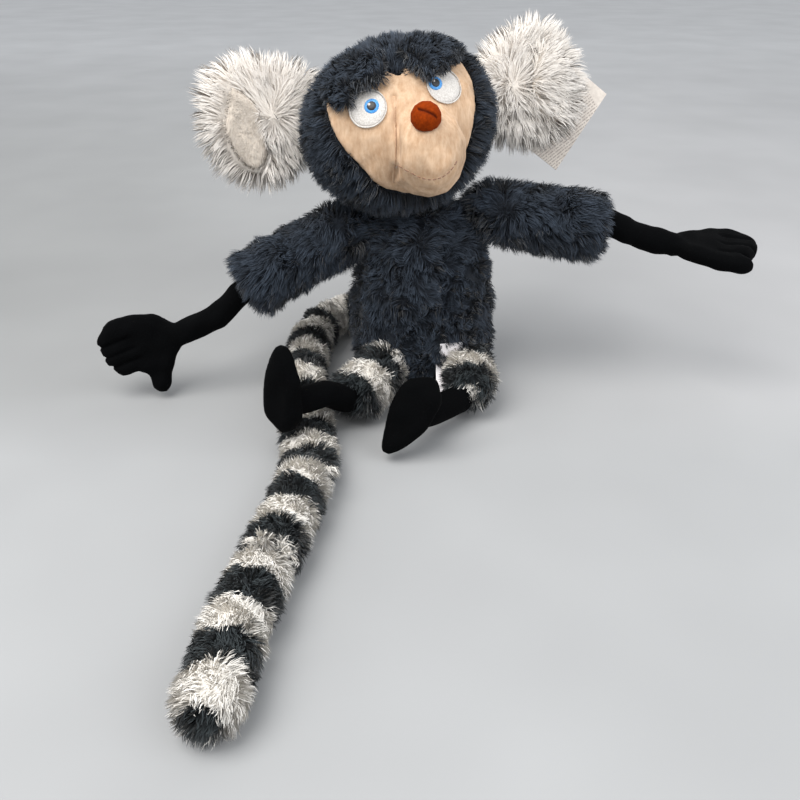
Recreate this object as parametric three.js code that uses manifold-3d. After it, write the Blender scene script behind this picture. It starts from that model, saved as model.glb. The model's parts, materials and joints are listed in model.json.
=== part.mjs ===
// A seated stuffed marmoset, built the way the real toy is sewn: pile skins as separate shells over their
// fillings, stuffed black forearms and shins, mitten hands, leaf-shaped feet and a long striped tail.
// Millimetres. The origin is the middle of the flat seat on the floor, +Z is up and the toy faces -Y,
// so its left side is +X.
import * as THREE from 'three';
import { LoftGeometry } from 'three/addons/geometries/LoftGeometry.js';
import { mergeVertices } from 'three/addons/utils/BufferGeometryUtils.js';
import Module from 'manifold-3d';

const wasm = await Module();
wasm.setup();

// ---------- driving dimensions ----------
const GAP = 0.4; // between pieces that touch
const JOINT_GAP = 0.8; // between a ball end and the cup it turns in
const EAR_GAP = 2; // between an ear's root and the hood, crossed by the pile
const MOUTH_FLARE = 6; // how much a sleeve's mouth widens along the first stretch of the limb
const PILE = 5; // plush fabric with its pile
const SHORT_PILE = 2.4; // short plush of the face
const BASE_CLOTH = 2; // plain cloth under the seat
const CUP_ROOM = 3; // between a limb's ball end and the cup sewn round it in the torso
const FAR = 200; // beyond every piece, for cutting blocks

const TORSO_HEIGHT = 124;
const TORSO_HALF_WIDTH = 48;
const TORSO_HALF_DEPTH = 39;
const TORSO_LEAN = 8; // how far the shoulders sit behind the seat

const HEAD_HALF = { x: 59, y: 45, z: 48 };
const HEAD_CENTRE = { y: -14, z: 49 }; // from the neck pivot, in the head's own frame
const NECK_PIVOT = [-6, 9, 127];
const HEAD_TURN = 16; // the head looks a little to its left
const HEAD_TILT = -13; // its left side is the higher one
const HEAD_NOD = -11; // it looks up a little
const NECK_RADIUS = 12;
const NECK_ROOT = 100; // height at which the neck's filling starts
const NECK_CUP_ROOM = 3.6; // between the neck's ball end and the head
const NECK_MOUTH = { flare: 10, length: 30, depth: 14 }; // the opening under the hood
const THREAD = { radius: 0.6, outside: 1.3, behind: 0.62 }; // the seam loops round the ball ends

const EAR = { y: 6, outer: 28, root: 38, halfHeight: 33, rootHalfHeight: 12, thickness: 8 };
const EAR_AT = { right: { x: 82, z: 74 }, left: { x: 97, z: 47 } }; // the right ear is sewn on higher
const MUZZLE = { x: 4, halfWidth: 24, halfHeight: 28, depth: 26, z: -16 }; // sewn a little to the left
const EYE = { x: 23, z: 15, radius: 11.2, thickness: 1.2 };
const NOSE = { radius: 9, before: 8, z: 2.5, cutBefore: 3 };
const FACE_INSET = 2; // the face lies this far under the hood's pile
const FORELOCK = { above: 5, below: 2.4 }; // how far the brow fur stands over and sinks into the head
const EAR_LINING = { thickness: 5, x: 8, z: -2 }; // placed from the ear's own middle

const SHOULDER_RADIUS = 18;
const SLEEVE_RADIUS = 22;
const FOREARM_RADIUS = 8.5;
const HAND = { length: 54, halfWidth: 20, thickness: 12 };
const THIGH_RADIUS = 17;
const SHIN_RADIUS = 9;
const FOOT = { length: 56, halfWidth: 14, thickness: 12 };
const TAIL_RADIUS = 15;
const PELLETS = { y: 6, height: 16, halfWidth: 24, halfDepth: 19 };
const LABEL = { width: 18, length: 44, corner: 4, thickness: 1, lift: 14, turn: -5, at: [12, -44, 48] };

// Pivots and path points of the two arms, two legs and the tail.
const ARMS = {
  right: {
    shoulder: [-47, 6, 110],
    sleeveEnd: [-116, -9, 76],
    forearm: [[-119, -10, 72], [-138, -17, 55], [-163, -24, 46]],
    fingers: [-0.97, -0.06, -0.2],
    palm: [0.1, -1, 0.1],
    thumbSide: 1,
    thumb: [[31, 20], [28, 36], [23, 39], [18, 36]],
  },
  left: {
    shoulder: [46, 6, 120],
    sleeveEnd: [115, -3, 113],
    forearm: [[120, -3, 116], [141, -3, 107], [164, -4, 101]],
    fingers: [0.98, -0.08, -0.06],
    palm: [0, -0.12, 1],
    thumbSide: -1,
    thumb: [[37, 19], [47, 25], [44, 31], [31, 31]],
  },
};
const LEGS = {
  right: {
    hip: [-25, -30, 24],
    thighEnd: [-44, -60, 19],
    shin: [[-48, -67, 20], [-61, -83, 33], [-78, -101, 37]],
    toes: [0.05, 0.05, 1],
    sole: [-0.6, -0.78, 0.07],
    heel: 15,
  },
  left: {
    hip: [32, -25, 23],
    thighEnd: [31, -52, 20],
    shin: [[24, -61, 17], [8, -77, 17], [-9, -95, 22]],
    toes: [-0.52, -0.23, -0.83],
    sole: [-0.25, -0.93, 0.41],
    heel: 31,
  },
};
const TAIL_PATH = [
  [0, 47, 26], [-20, 74, 19], [-52, 84, 15.4], [-76, 56, 15.4], [-82, 8, 15.4], [-79, -42, 15.4],
  [-75, -76, 10.5], [-70, -105, 10.5], [-67, -130, 12], [-69, -155, 15.4],
  [-72, -178, 15.4], [-77, -205, 15.4],
  [-86, -255, 15.4], [-90, -300, 15.4],
];
const TAIL_JOINTS = [0, 0.22, 0.42, 0.68, 0.84]; // share of the tail's length at which each section starts

// ---------- colours ----------
const COLOUR = {
  slate: 0x323b48, face: 0xd9b995, white: 0xece5dc, cream: 0xd8ccc0, striped: 0x8d8f92, black: 0x0e1013,
  nose: 0x9a3f1a, eye: 0xe8e8ec, fill: 0xf1efe8, thread: 0x22262c, card: 0xd5c8bc, label: 0xefe9ea,
  nylon: 0xdde3e6, pellets: 0xc9c4b8,
};
const material = (colour, roughness = 0.95) =>
  new THREE.MeshStandardMaterial({ color: colour, roughness, metalness: 0 });

// ---------- geometry helpers ----------
const vec = (p) => new THREE.Vector3(...p);
const degrees = THREE.MathUtils.degToRad;

function solidOf(geometry) {
  const bare = new THREE.BufferGeometry();
  bare.setAttribute('position', geometry.getAttribute('position'));
  bare.setIndex(geometry.index);
  const merged = mergeVertices(bare, 1e-4);
  return new wasm.Manifold(new wasm.Mesh({
    numProp: 3,
    vertProperties: new Float32Array(merged.attributes.position.array),
    triVerts: new Uint32Array(merged.index.array),
  }));
}

function geometryOf(solid) {
  const mesh = solid.getMesh();
  const geometry = new THREE.BufferGeometry();
  geometry.setAttribute('position', new THREE.BufferAttribute(new Float32Array(mesh.vertProperties), 3));
  geometry.setIndex(new THREE.BufferAttribute(new Uint32Array(mesh.triVerts), 1));
  geometry.computeVertexNormals();
  return geometry;
}

const ball = (centre, radius, detail = 12) =>
  solidOf(new THREE.SphereGeometry(radius, detail, detail * 0.75).translate(...centre));

const block = (low, high) =>
  solidOf(new THREE.BoxGeometry(high[0] - low[0], high[1] - low[1], high[2] - low[2])
    .translate((low[0] + high[0]) / 2, (low[1] + high[1]) / 2, (low[2] + high[2]) / 2));

// The points of an elliptical section across `along`, its first half-axis as near `wide` as it can be.
function section(centre, along, wide, a, b, sides) {
  const first = wide.clone().addScaledVector(along, -wide.dot(along)).normalize();
  const second = along.clone().cross(first);
  return Array.from({ length: sides }, (_, i) => {
    const angle = (i / sides) * Math.PI * 2;
    const offset = first.clone().multiplyScalar(a * Math.cos(angle));
    return centre.clone().add(offset).addScaledVector(second, b * Math.sin(angle));
  });
}

const DOME_STEPS = [degrees(72), degrees(36)];

// A stuffed tube along a curve. `profile` lists [share of the length, half-width, half-thickness]. A ball
// end of `rootBall` radius is centred on the curve's start, and `tipDome` is the height of the far dome.
function stuffedTube({ points, wide, profile, rootBall = 0, tipDome = 0, sides = 12 }) {
  const curve = new THREE.CatmullRomCurve3(points.map(vec));
  const across = vec(wide);
  const sections = [];
  const add = (centre, along, a, b) => sections.push(section(centre, along, across, a, b, sides));
  const start = curve.getPointAt(0);
  const startAlong = curve.getTangentAt(0);
  const end = curve.getPointAt(1);
  const endAlong = curve.getTangentAt(1);
  if (rootBall) {
    for (const angle of DOME_STEPS) {
      const radius = rootBall * Math.cos(angle);
      add(start.clone().addScaledVector(startAlong, -rootBall * Math.sin(angle)), startAlong, radius, radius);
    }
  }
  for (const [share, a, b] of profile) add(curve.getPointAt(share), curve.getTangentAt(share), a, b);
  if (tipDome) {
    const [, a, b] = profile.at(-1);
    for (const angle of [...DOME_STEPS].reverse()) {
      const shrink = Math.cos(angle);
      add(end.clone().addScaledVector(endAlong, tipDome * Math.sin(angle)), endAlong, a * shrink, b * shrink);
    }
  }
  return solidOf(new LoftGeometry(sections, { capStart: true, capEnd: true }));
}

// A pillow: an outline stuffed to `thickness` with rounded edges, its mid-plane on z = 0.
function pillow(outline, thickness, { rounding = thickness * 0.4, count = 22 } = {}) {
  const points = outline.getSpacedPoints(count).slice(0, count);
  if (THREE.ShapeUtils.isClockWise(points)) points.reverse();
  const inward = points.map((_, i) => {
    const chord = points[(i + 1) % count].clone().sub(points[(i + count - 1) % count]).normalize();
    return new THREE.Vector2(-chord.y, chord.x);
  });
  const half = thickness / 2;
  const levels = [[1, -1], [0.1, -0.5], [0.1, 0.5], [1, 1]];
  const sections = levels.map(([inset, height]) => points.map((point, i) => {
    const at = point.clone().addScaledVector(inward[i], inset * rounding);
    return new THREE.Vector3(at.x, at.y, height * half);
  }));
  return solidOf(new LoftGeometry(sections, { capStart: true, capEnd: true }));
}

// The matrix that faces a pillow along `facing`, its x axis as near `x` as it can be, at `origin`.
function placed(origin, x, facing) {
  const third = vec(facing).normalize();
  const first = vec(x).addScaledVector(third, -vec(x).dot(third)).normalize();
  const second = third.clone().cross(first);
  return new THREE.Matrix4().makeBasis(first, second, third).setPosition(...origin);
}

const moved = (solid, matrix) => solidOf(geometryOf(solid).applyMatrix4(matrix));

function closedSpline(points) {
  const shape = new THREE.Shape();
  const [first, ...rest] = points.map(([x, y]) => new THREE.Vector2(x, y));
  shape.moveTo(first.x, first.y);
  shape.splineThru([...rest, first]);
  return shape;
}

// ---------- torso ----------
function torsoSolid(inset) {
  const rings = [ // share of the height, of the half-width, of the half-depth
    [0, 0.76, 0.74], [0.06, 0.94, 0.92], [0.3, 1, 1], [0.6, 0.95, 0.93], [0.84, 0.8, 0.76], [1, 0.44, 0.42],
  ];
  const up = vec([0, 0, 1]);
  const across = vec([1, 0, 0]);
  const sections = rings.map(([share, width, depth]) => {
    const lowest = inset ? BASE_CLOTH + GAP : 0;
    const highest = TORSO_HEIGHT - inset * 0.2;
    const z = Math.min(Math.max(share * TORSO_HEIGHT, lowest), highest);
    const centre = vec([0, share * TORSO_LEAN, z]);
    const halfWidth = TORSO_HALF_WIDTH * width - inset;
    const halfDepth = TORSO_HALF_DEPTH * depth - inset;
    return section(centre, up, across, halfWidth, halfDepth, 16);
  });
  return solidOf(new LoftGeometry(sections, { capStart: true, capEnd: true }));
}

// An upright post on the neck's axis.
function neckPost(bottom, top, radius, sides) {
  const [x, y] = NECK_PIVOT;
  return stuffedTube({
    points: [[x, y, bottom], [x, y, top]],
    wide: [1, 0, 0],
    profile: [[0, radius, radius], [1, radius, radius]],
    sides,
  });
}

function buildTorso() {
  const neck = neckPost(NECK_ROOT, NECK_PIVOT[2], NECK_RADIUS).add(ball(NECK_PIVOT, NECK_RADIUS + 1));
  const neckRoom = neckPost(NECK_ROOT - GAP, FAR, NECK_RADIUS + 2 * GAP, 24);
  const bag = pelletBag();
  const cups = [
    ...Object.values(ARMS).map((arm) => ball(arm.shoulder, SHOULDER_RADIUS + CUP_ROOM)),
    ...Object.values(LEGS).map((leg) => ball(leg.hip, THIGH_RADIUS + CUP_ROOM)),
    ball(TAIL_PATH[0], TAIL_RADIUS + CUP_ROOM),
  ];
  const cut = (solid) => cups.reduce((left, cup) => left.subtract(cup), solid);

  const outer = torsoSolid(0);
  const skin = cut(outer.subtract(torsoSolid(PILE)).subtract(neckRoom));
  const aboveSeat = skin.intersect(block([-FAR, -FAR, BASE_CLOTH + GAP], [FAR, FAR, FAR]));
  const sideSeam = 4; // the side seams run a little behind the middle
  return {
    torso_front_panel: aboveSeat.intersect(block([-FAR, -FAR, 0], [FAR, sideSeam - GAP / 2, FAR])),
    torso_back_panel: aboveSeat.intersect(block([-FAR, sideSeam + GAP / 2, 0], [FAR, FAR, FAR])),
    seat_panel: cut(outer).intersect(block([-FAR, -FAR, 0], [FAR, FAR, BASE_CLOTH])),
    torso_stuffing: cut(torsoSolid(PILE + GAP)).subtract(neckRoom).subtract(bag.room),
    pellet_bag: bag.solid,
    neck_stuffing: neck,
  };
}

// The sack of plastic pellets that weighs the seat down. It lies on the seat panel, inside the stuffing.
function pelletBag() {
  const { y, height, halfWidth, halfDepth } = PELLETS;
  const low = BASE_CLOTH + GAP;
  const make = (grow, bottom) => stuffedTube({
    points: [[0, y, bottom], [0, y, low + height + 3 * grow]],
    wide: [1, 0, 0],
    profile: [[0, 0.75], [0.5, 1], [1, 0.54]].map(([share, size]) =>
      [share, halfWidth * size + grow, halfDepth * size + grow]),
    sides: 14,
  });
  return { solid: make(0, low), room: make(2 * GAP, 0) };
}

// ---------- head, in its own frame: the neck pivot is the origin and the face looks along -Y ----------
function headSolid(inset) {
  const geometry = new THREE.SphereGeometry(1, 18, 12);
  geometry.scale(HEAD_HALF.x - inset, HEAD_HALF.y - inset, HEAD_HALF.z - inset);
  return solidOf(geometry.translate(0, HEAD_CENTRE.y, HEAD_CENTRE.z));
}

// The face is a rounded heart: two brow lobes above, narrowing to the chin. Seen from the front.
function faceShape(grow) {
  const half = [[13, 36], [29, 37], [41, 27], [44, 8], [37, -12], [24, -31]];
  const ends = { top: [0, 27], bottom: [0, -41] };
  const outline = [ends.top, ...half, ends.bottom, ...half.map(([x, z]) => [-x, z]).reverse()];
  const scale = 1 + grow / 40;
  return closedSpline(outline.map(([x, z]) => [x * scale, z * scale]));
}

// A prism through the front of the head with the outline `shape`, from `near` to `far` in depth.
function frontPrism(shape, near, far) {
  const depth = far - near;
  const geometry = new THREE.ExtrudeGeometry(shape, { depth, bevelEnabled: false, curveSegments: 2 });
  geometry.rotateX(Math.PI / 2);
  return solidOf(geometry.translate(0, far, HEAD_CENTRE.z));
}

function buildHead() {
  const front = HEAD_CENTRE.y - HEAD_HALF.y;
  const facePrism = frontPrism(faceShape(0), front - 20, HEAD_CENTRE.y - 12);
  const faceHole = frontPrism(faceShape(GAP), front - 20, HEAD_CENTRE.y);
  const neckCup = ball([0, 0, 0], NECK_RADIUS + NECK_CUP_ROOM, 14);
  const { flare, length, depth } = NECK_MOUTH;
  const neckCone = new THREE.CylinderGeometry(NECK_RADIUS + 2, NECK_RADIUS + flare, length, 14);
  const neckMouth = solidOf(neckCone.rotateX(Math.PI / 2).translate(0, 0, -depth));
  const shell = headSolid(0).subtract(headSolid(PILE)).subtract(neckCup).subtract(neckMouth);
  const faceShell = headSolid(FACE_INSET).subtract(headSolid(FACE_INSET + SHORT_PILE));
  const underFace = headSolid(FACE_INSET - GAP);

  const muzzleAt = [MUZZLE.x, front + 12, HEAD_CENTRE.z + MUZZLE.z];
  const muzzleDome = (inset) => {
    const geometry = new THREE.SphereGeometry(1, 14, 8);
    geometry.scale(MUZZLE.halfWidth - inset, MUZZLE.depth - inset, MUZZLE.halfHeight - inset);
    return solidOf(geometry.translate(...muzzleAt));
  };
  const outsideFace = block([-FAR, -FAR, -FAR], [FAR, HEAD_CENTRE.y, FAR]).subtract(underFace);
  const muzzlePanel = muzzleDome(0).subtract(muzzleDome(SHORT_PILE)).intersect(outsideFace);
  const muzzleFill = muzzleDome(SHORT_PILE + GAP).intersect(outsideFace);

  // Pieces that meet the muzzle, and the small ones sewn on the face, are cut back by it with a gap.
  const skinOfMuzzle = muzzleDome(-GAP);
  const hood = shell.subtract(faceHole).subtract(skinOfMuzzle);
  const noseAt = [MUZZLE.x, front - NOSE.before, HEAD_CENTRE.z + NOSE.z];
  const nose = ball(noseAt, NOSE.radius).subtract(skinOfMuzzle).subtract(underFace)
    .intersect(block([-FAR, -FAR, -FAR], [FAR, front - NOSE.cutBefore, FAR]));
  const onFace = (x, z, radius, thickness) =>
    frontPrism(circle(x, z, radius), front - 4, HEAD_CENTRE.y - 10)
      .intersect(headSolid(FACE_INSET - GAP - thickness)).subtract(underFace);
  const eye = (side) => onFace(side * EYE.x, EYE.z, EYE.radius, EYE.thickness).subtract(skinOfMuzzle);
  const forelock = (side) => frontPrism(forelockShape(side), front - 14, HEAD_CENTRE.y - 6)
    .intersect(headSolid(-FORELOCK.above)).subtract(headSolid(FACE_INSET - GAP - FORELOCK.below));

  return {
    hood_left: hood.intersect(block([GAP / 2, -FAR, -FAR], [FAR, FAR, FAR])),
    hood_right: hood.intersect(block([-FAR, -FAR, -FAR], [-GAP / 2, FAR, FAR])),
    face_panel: faceShell.intersect(facePrism),
    muzzle_panel: muzzlePanel,
    muzzle_stuffing: muzzleFill,
    nose,
    eye_left: eye(1),
    eye_right: eye(-1),
    forelock_left: forelock(1),
    forelock_right: forelock(-1),
    head_stuffing: headSolid(PILE + GAP).subtract(neckCup).subtract(neckMouth),
  };
}

function circle(x, z, radius) {
  const shape = new THREE.Shape();
  shape.absarc(x, z, radius, 0, Math.PI * 2);
  return shape;
}

// A tongue of fur over each brow. The middle of the forehead stays bare between them.
function forelockShape(side) {
  const points = [[4, 42], [22, 44], [40, 35], [41, 22], [28, 20], [12, 24]];
  return closedSpline(points.map(([x, z]) => [side * x, z]));
}

// ---------- ears, in the head's frame ----------
function buildEar(name, side) {
  const { x, z } = EAR_AT[name];
  const { outer, root, halfHeight, rootHalfHeight } = EAR;
  const upper = [
    [outer, 0], [outer * 0.75, halfHeight * 0.75], [0, halfHeight], [-outer * 0.8, halfHeight * 0.74],
    [-root, rootHalfHeight],
  ];
  const lower = upper.slice(1).map(([across, up]) => [across, -up]).reverse();
  const outline = closedSpline([...upper, ...lower].map(([across, up]) => [side * across, up]));
  const inner = closedSpline([[0, 25], [9, 12], [11, -4], [6, -20], [-3, -25], [-11, -12], [-10, 6]]);
  const upright = new THREE.Matrix4().makeRotationX(Math.PI / 2);
  const liningY = EAR.y - EAR.thickness / 2 - EAR_LINING.thickness / 2 - GAP;
  const at = (...place) => new THREE.Matrix4().makeTranslation(...place).multiply(upright);
  const back = moved(pillow(outline, EAR.thickness), at(side * x, EAR.y, z)).subtract(headSolid(-EAR_GAP));
  const liningAt = at(side * (x + EAR_LINING.x), liningY, z + EAR_LINING.z);
  const front = moved(pillow(inner, EAR_LINING.thickness), liningAt);
  return { back, front };
}

// The swing ticket hangs behind the left ear on a nylon fastener that goes through the ear.
const TICKET = { width: 36, height: 60, thickness: 0.8, hole: 1.8, lean: -50, holeInset: 4.5, y: EAR.y + 9 };
const FASTENER = {
  x: EAR_AT.left.x + 12,
  z: EAR_AT.left.z - 16,
  radius: 0.6,
  bar: 5,
  barRadius: 0.9,
  front: EAR.y - 12,
  back: EAR.y + 12,
};

// A round rod along Y through the ear, or along X for the bars at the fastener's ends.
function rod(radius, length, centre, alongX = false) {
  const geometry = new THREE.CylinderGeometry(radius, radius, length, 8);
  if (alongX) geometry.rotateZ(Math.PI / 2);
  return solidOf(geometry.translate(...centre));
}

function buildTicket() {
  const { width, height, thickness, hole, lean, holeInset } = TICKET;
  const outline = new THREE.Shape();
  const left = -holeInset;
  const right = width - holeInset;
  outline.moveTo(left, -height / 2);
  outline.lineTo(right, -height / 2);
  outline.lineTo(right, height / 2);
  outline.lineTo(left, height / 2);
  outline.closePath();
  const eyelet = new THREE.Path();
  eyelet.absarc(0, 0, hole, 0, Math.PI * 2, true);
  outline.holes.push(eyelet);
  const sheet = { depth: thickness, bevelEnabled: false, curveSegments: 5 };
  const card = new THREE.ExtrudeGeometry(outline, sheet);
  card.rotateZ(degrees(lean)).rotateX(Math.PI / 2).translate(FASTENER.x, TICKET.y, FASTENER.z);
  const middle = (FASTENER.front + FASTENER.back) / 2;
  const length = FASTENER.back - FASTENER.front;
  const fastener = rod(FASTENER.radius, length, [FASTENER.x, middle, FASTENER.z])
    .add(rod(FASTENER.barRadius, FASTENER.bar * 2, [FASTENER.x, FASTENER.front, FASTENER.z], true))
    .add(rod(FASTENER.barRadius, FASTENER.bar * 2, [FASTENER.x, FASTENER.back, FASTENER.z], true));
  const pierced = rod(FASTENER.radius + GAP, length, [FASTENER.x, middle, FASTENER.z]);
  return { card: solidOf(card), fastener, pierced };
}

// ---------- arms ----------
function seamThread(centre, towards, ballRadius) {
  // A loop of doubled thread in the space between the ball end and its cup, on the body's side.
  const distance = ballRadius + THREAD.outside;
  const behind = distance * THREAD.behind;
  const loop = new THREE.TorusGeometry(Math.sqrt(distance ** 2 - behind ** 2), THREAD.radius, 4, 14);
  const axis = vec(towards).sub(vec(centre)).normalize();
  loop.applyQuaternion(new THREE.Quaternion().setFromUnitVectors(vec([0, 0, 1]), axis));
  const at = vec(centre).addScaledVector(axis, -behind);
  return solidOf(loop.translate(at.x, at.y, at.z));
}

// The opening at the end of a sleeve or thigh, where the next piece comes out: a cup that widens outwards.
function mouth([start, next], radius) {
  return stuffedTube({
    points: [start, next],
    wide: [0, 0, 1],
    profile: [[0, radius, radius], [1, radius + MOUTH_FLARE, radius + MOUTH_FLARE]],
    rootBall: radius,
  });
}

// A mitten hand: a block of four fingers, and a thumb whose outline is `thumb`, on the side `thumbSide`.
function handShape(thumb, thumbSide) {
  const { length, halfWidth } = HAND;
  const points = [
    [1, -7], [9, -halfWidth * 0.72], [24, -halfWidth], [length - 9, -halfWidth * 0.9],
    [length, -halfWidth * 0.35], [length - 1, halfWidth * 0.45], [length - 9, halfWidth * 0.98],
    ...thumb, [9, halfWidth * 0.9], [1, 7],
  ];
  return closedSpline(points.map(([x, y]) => [x, y * thumbSide]));
}

function buildArm({ shoulder, sleeveEnd, forearm, fingers, palm, thumb, thumbSide }) {
  const sleeve = (inset, extend) => {
    const tip = vec(sleeveEnd);
    const direction = tip.clone().sub(vec(shoulder)).normalize();
    tip.addScaledVector(direction, extend);
    return stuffedTube({
      points: [shoulder, tip.toArray()],
      wide: [0, 0, 1],
      profile: [[0, SHOULDER_RADIUS - inset, SHOULDER_RADIUS - inset],
        [0.35, SLEEVE_RADIUS - 1 - inset, SLEEVE_RADIUS - 2 - inset],
        [0.75, SLEEVE_RADIUS - inset, SLEEVE_RADIUS - 2 - inset],
        [1, SLEEVE_RADIUS - 1 - inset, SLEEVE_RADIUS - 3 - inset]],
      rootBall: SHOULDER_RADIUS - inset,
    });
  };
  const elbowCup = mouth(forearm, FOREARM_RADIUS + JOINT_GAP);
  const wrist = forearm.at(-1);
  const skin = sleeve(0, 0).subtract(sleeve(PILE, 12)).subtract(elbowCup);
  const filling = sleeve(PILE + 2 * GAP, -2).subtract(elbowCup);
  const lower = stuffedTube({
    points: forearm,
    wide: [0, 0, 1],
    profile: [0, 0.5, 1].map((share) => [share, FOREARM_RADIUS, FOREARM_RADIUS]),
    rootBall: FOREARM_RADIUS,
  }).subtract(ball(wrist, FOREARM_RADIUS + JOINT_GAP - 0.3));
  const mitten = pillow(handShape(thumb, thumbSide), HAND.thickness, { count: 32 });
  const hand = moved(mitten, placed(wrist, fingers, palm)).add(ball(wrist, FOREARM_RADIUS - GAP));
  return { thread: seamThread(shoulder, sleeveEnd, SHOULDER_RADIUS), skin, filling, lower, end: hand };
}

// ---------- legs ----------
function footShape(heel) {
  const { length, halfWidth } = FOOT;
  const from = -heel;
  return closedSpline([
    [from, 3], [from + length * 0.16, halfWidth * 0.9], [from + length * 0.4, halfWidth],
    [from + length * 0.72, halfWidth * 0.72], [from + length * 0.97, 3.5], [from + length * 0.97, -3.5],
    [from + length * 0.72, -halfWidth * 0.72], [from + length * 0.4, -halfWidth],
    [from + length * 0.16, -halfWidth * 0.9], [from, -3],
  ]);
}

function buildLeg({ hip, thighEnd, shin, toes, sole, heel }) {
  const thigh = (inset) => stuffedTube({
    points: [hip, thighEnd],
    wide: [0, 0, 1],
    profile: [0, 1].map((share) => [share, THIGH_RADIUS - inset, THIGH_RADIUS - inset]),
    rootBall: THIGH_RADIUS - inset,
    tipDome: THIGH_RADIUS - 5 - inset,
  });
  const kneeCup = mouth(shin, SHIN_RADIUS + JOINT_GAP);
  const ankle = shin.at(-1);
  const lower = stuffedTube({
    points: shin,
    wide: [0, 0, 1],
    profile: [[0, SHIN_RADIUS], [0.5, SHIN_RADIUS], [1, SHIN_RADIUS - 1]].map(([share, r]) => [share, r, r]),
    rootBall: SHIN_RADIUS,
  }).subtract(ball(ankle, SHIN_RADIUS));
  const inFront = vec(ankle).addScaledVector(vec(sole).normalize(), FOOT.thickness / 2 + 3.5).toArray();
  const foot = moved(pillow(footShape(heel), FOOT.thickness), placed(inFront, toes, sole))
    .add(ball(ankle, SHIN_RADIUS - JOINT_GAP));
  return {
    thread: seamThread(hip, thighEnd, THIGH_RADIUS),
    skin: thigh(0).subtract(thigh(PILE)).subtract(kneeCup),
    filling: thigh(PILE + GAP).subtract(kneeCup),
    lower,
    end: foot,
  };
}

// ---------- tail ----------
function buildTail() {
  const curve = new THREE.CatmullRomCurve3(TAIL_PATH.map(vec));
  const sections = TAIL_JOINTS.map((from, i) => {
    const to = TAIL_JOINTS[i + 1] ?? 1;
    const last = i === TAIL_JOINTS.length - 1;
    const steps = 4;
    const points = Array.from({ length: steps + 1 }, (_, k) =>
      curve.getPointAt(from + (to - from) * (k / steps)).toArray());
    const profile = points.map(([, , z], k) => {
      const halfHeight = Math.min(TAIL_RADIUS, z - GAP);
      return [k / steps, halfHeight, TAIL_RADIUS + (TAIL_RADIUS - halfHeight) / 2];
    });
    let solid = stuffedTube({
      points, wide: [0, 0, 1], profile, rootBall: TAIL_RADIUS, tipDome: last ? TAIL_RADIUS - 2 : 0,
    });
    if (!last) solid = solid.subtract(ball(curve.getPointAt(to).toArray(), TAIL_RADIUS + JOINT_GAP));
    return solid;
  });
  return { sections, thread: seamThread(TAIL_PATH[0], curve.getPointAt(0.05).toArray(), TAIL_RADIUS) };
}

// The care label is a satin tape sewn into the front seam. It hangs over the left shin, one corner cut off.
function buildCareLabel() {
  const { width, length, corner, thickness, lift, turn, at } = LABEL;
  const outline = new THREE.Shape();
  outline.moveTo(-width / 2, 0);
  outline.lineTo(width / 2, 0);
  outline.lineTo(width / 2, corner - length);
  outline.lineTo(width / 2 - corner, -length);
  outline.lineTo(-width / 2, -length);
  outline.closePath();
  const tape = new THREE.ExtrudeGeometry(outline, { depth: thickness, bevelEnabled: false });
  tape.rotateX(degrees(lift)).rotateZ(degrees(turn)).translate(...at);
  return solidOf(tape);
}

// ---------- the toy ----------
const toy = new THREE.Group();

function addPiece(parent, name, solid, look) {
  const mesh = new THREE.Mesh(geometryOf(solid), look);
  mesh.name = name;
  parent.add(mesh);
}

const look = {};
for (const [name, colour] of Object.entries(COLOUR)) look[name] = material(colour);
look.nylon.roughness = 0.3;
look.label.roughness = 0.5;

const torso = buildTorso();
const torsoLooks = {
  torso_front_panel: 'slate', torso_back_panel: 'slate', seat_panel: 'slate', torso_stuffing: 'fill',
  pellet_bag: 'pellets', neck_stuffing: 'fill',
};
for (const [name, solid] of Object.entries(torso)) addPiece(toy, name, solid, look[torsoLooks[name]]);
addPiece(toy, 'care_label', buildCareLabel(), look.label);

const headGroup = new THREE.Group();
headGroup.position.set(...NECK_PIVOT);
headGroup.rotation.set(degrees(HEAD_NOD), degrees(HEAD_TILT), degrees(HEAD_TURN), 'ZYX');
toy.add(headGroup);
const headLooks = {
  hood_left: 'slate', hood_right: 'slate', face_panel: 'face', muzzle_panel: 'face', muzzle_stuffing: 'fill',
  nose: 'nose', eye_left: 'eye', eye_right: 'eye', forelock_left: 'slate', forelock_right: 'slate',
  head_stuffing: 'fill',
};
for (const [name, solid] of Object.entries(buildHead())) {
  addPiece(headGroup, name, solid, look[headLooks[name]]);
}

const belowNeck = [NECK_PIVOT[0], NECK_PIVOT[1], 0];
addPiece(toy, 'neck_thread', seamThread(NECK_PIVOT, belowNeck, NECK_RADIUS + 1), look.thread);

const ticket = buildTicket();
for (const [name, side] of [['right', -1], ['left', 1]]) {
  const ear = buildEar(name, side);
  const pierce = (solid) => (side > 0 ? solid.subtract(ticket.pierced) : solid);
  addPiece(headGroup, `ear_back_${name}`, pierce(ear.back), look.white);
  addPiece(headGroup, `ear_front_${name}`, pierce(ear.front), look.cream);
}
addPiece(headGroup, 'hang_tag', ticket.card, look.card);
addPiece(headGroup, 'tag_fastener', ticket.fastener, look.nylon);

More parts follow.
